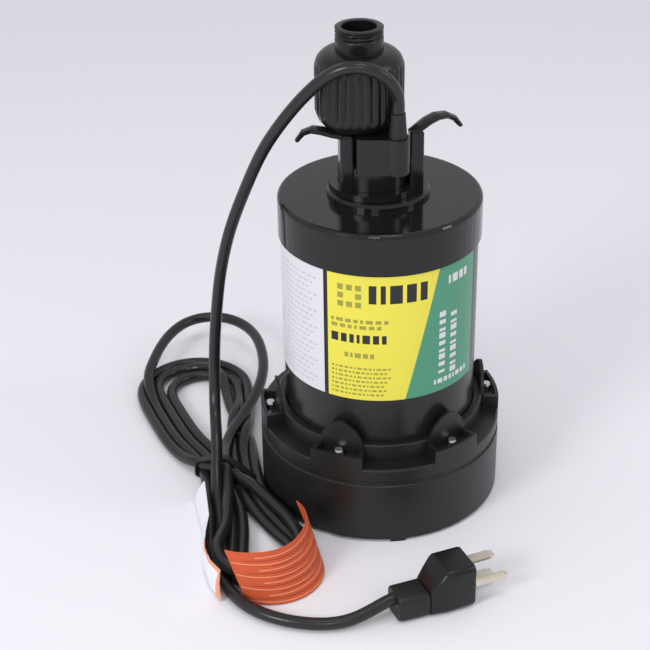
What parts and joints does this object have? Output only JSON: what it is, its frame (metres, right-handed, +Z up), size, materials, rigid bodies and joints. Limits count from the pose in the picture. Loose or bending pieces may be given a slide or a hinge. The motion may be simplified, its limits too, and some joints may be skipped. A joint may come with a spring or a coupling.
{
  "type": "submersible sump pump",
  "caption": "Small submersible sump pump: round shell on a screened base, top hose outlet, cord hooks, and a bundled mains lead with a moulded plug.",
  "frame": {"origin": "on the floor under the middle of the pump's base", "axes": "+Z up along the motor's axis, -Y towards the front that carries the label, +X to the right of somebody who faces the label"},
  "size_m": [0.2304, 0.3205, 0.287],
  "materials": {
    "base_strainer": "gloss black",
    "intake_screen": "gloss black",
    "suction_cover": "gloss black",
    "volute_housing": "gloss black",
    "outer_shell": "gloss black",
    "label_main": "satin film",
    "label_spec": "satin film",
    "top_cap": "gloss black",
    "shell_seal": "matte",
    "handle": "gloss black",
    "hose_adapter": "satin black",
    "valve_seat": "matte",
    "valve_pin": "bright",
    "check_flapper": "matte",
    "motor_can": "drawn",
    "lower_end_plate": "pressed",
    "upper_end_plate": "pressed",
    "lower_bearing": "ground",
    "upper_bearing": "ground",
    "stator_core": "laminated",
    "lower_winding": "enamelled copper wire",
    "upper_winding": "enamelled copper wire",
    "rotor_core": "laminated",
    "motor_shaft": "ground",
    "overload_protector": "moulded",
    "impeller": "moulded",
    "impeller_nut": "turned",
    "seal_seat": "lapped",
    "seal_ring": "carbon, lapped",
    "seal_bellows": "matte",
    "cord_conduit": "moulded",
    "motor_leads": "matte",
    "cord_strain_relief": "satin",
    "cord_drop": "satin",
    "cord_tail": "satin",
    "cord_hank": "satin",
    "hank_tie": "coated wire",
    "paper_sleeve": "printed",
    "paper_flap": "printed",
    "plug_body": "satin black",
    "plug_strain_relief": "satin",
    "plug_blade_upper": "bright",
    "plug_blade_lower": "bright",
    "plug_ground_pin": "bright",
    "base_screw_1": "bright",
    "base_screw_2": "bright",
    "base_screw_3": "bright",
    "base_screw_4": "bright",
    "base_screw_5": "bright",
    "base_screw_6": "bright",
    "handle_screw_1": "bright",
    "handle_screw_2": "bright"
  },
  "bodies": {
    "body": {"base_strainer": "base_strainer", "intake_screen": "intake_screen", "suction_cover": "suction_cover", "volute_housing": "volute_housing", "outer_shell": "outer_shell", "label_main": "label_main", "label_spec": "label_spec", "top_cap": "top_cap", "shell_seal": "shell_seal", "handle": "handle", "hose_adapter": "hose_adapter", "valve_seat": "valve_seat", "valve_pin": "valve_pin", "motor_can": "motor_can", "lower_end_plate": "lower_end_plate", "upper_end_plate": "upper_end_plate", "lower_bearing": "lower_bearing", "upper_bearing": "upper_bearing", "stator_core": "stator_core", "lower_winding": "lower_winding", "upper_winding": "upper_winding", "overload_protector": "overload_protector", "seal_seat": "seal_seat", "cord_conduit": "cord_conduit", "motor_leads": "motor_leads", "cord_strain_relief": "cord_strain_relief", "cord_drop": "cord_drop", "cord_tail": "cord_tail", "cord_hank": "cord_hank", "hank_tie": "hank_tie", "paper_sleeve": "paper_sleeve", "paper_flap": "paper_flap", "plug_body": "plug_body", "plug_strain_relief": "plug_strain_relief", "plug_blade_upper": "plug_blade_upper", "plug_blade_lower": "plug_blade_lower", "plug_ground_pin": "plug_ground_pin", "base_screw_1": "base_screw_1", "base_screw_2": "base_screw_2", "base_screw_3": "base_screw_3", "base_screw_4": "base_screw_4", "base_screw_5": "base_screw_5", "base_screw_6": "base_screw_6", "handle_screw_1": "handle_screw_1", "handle_screw_2": "handle_screw_2"},
    "rotor": {"motor_shaft": "motor_shaft", "rotor_core": "rotor_core", "impeller": "impeller", "impeller_nut": "impeller_nut", "seal_ring": "seal_ring", "seal_bellows": "seal_bellows"},
    "flapper": {"check_flapper": "check_flapper"}
  },
  "joints": [
    {"name": "rotor_spin", "type": "hinge", "parent": "body", "child": "rotor", "pos_m": [0, 0, 0.012], "axis": [0, 0, 1], "continuous": true},
    {"name": "flapper_lift", "type": "hinge", "parent": "body", "child": "flapper", "pos_m": [-0.0113, 0.0142, 0.2521], "axis": [-1, 0, 0], "range_deg": [0, 55]}
  ]
}
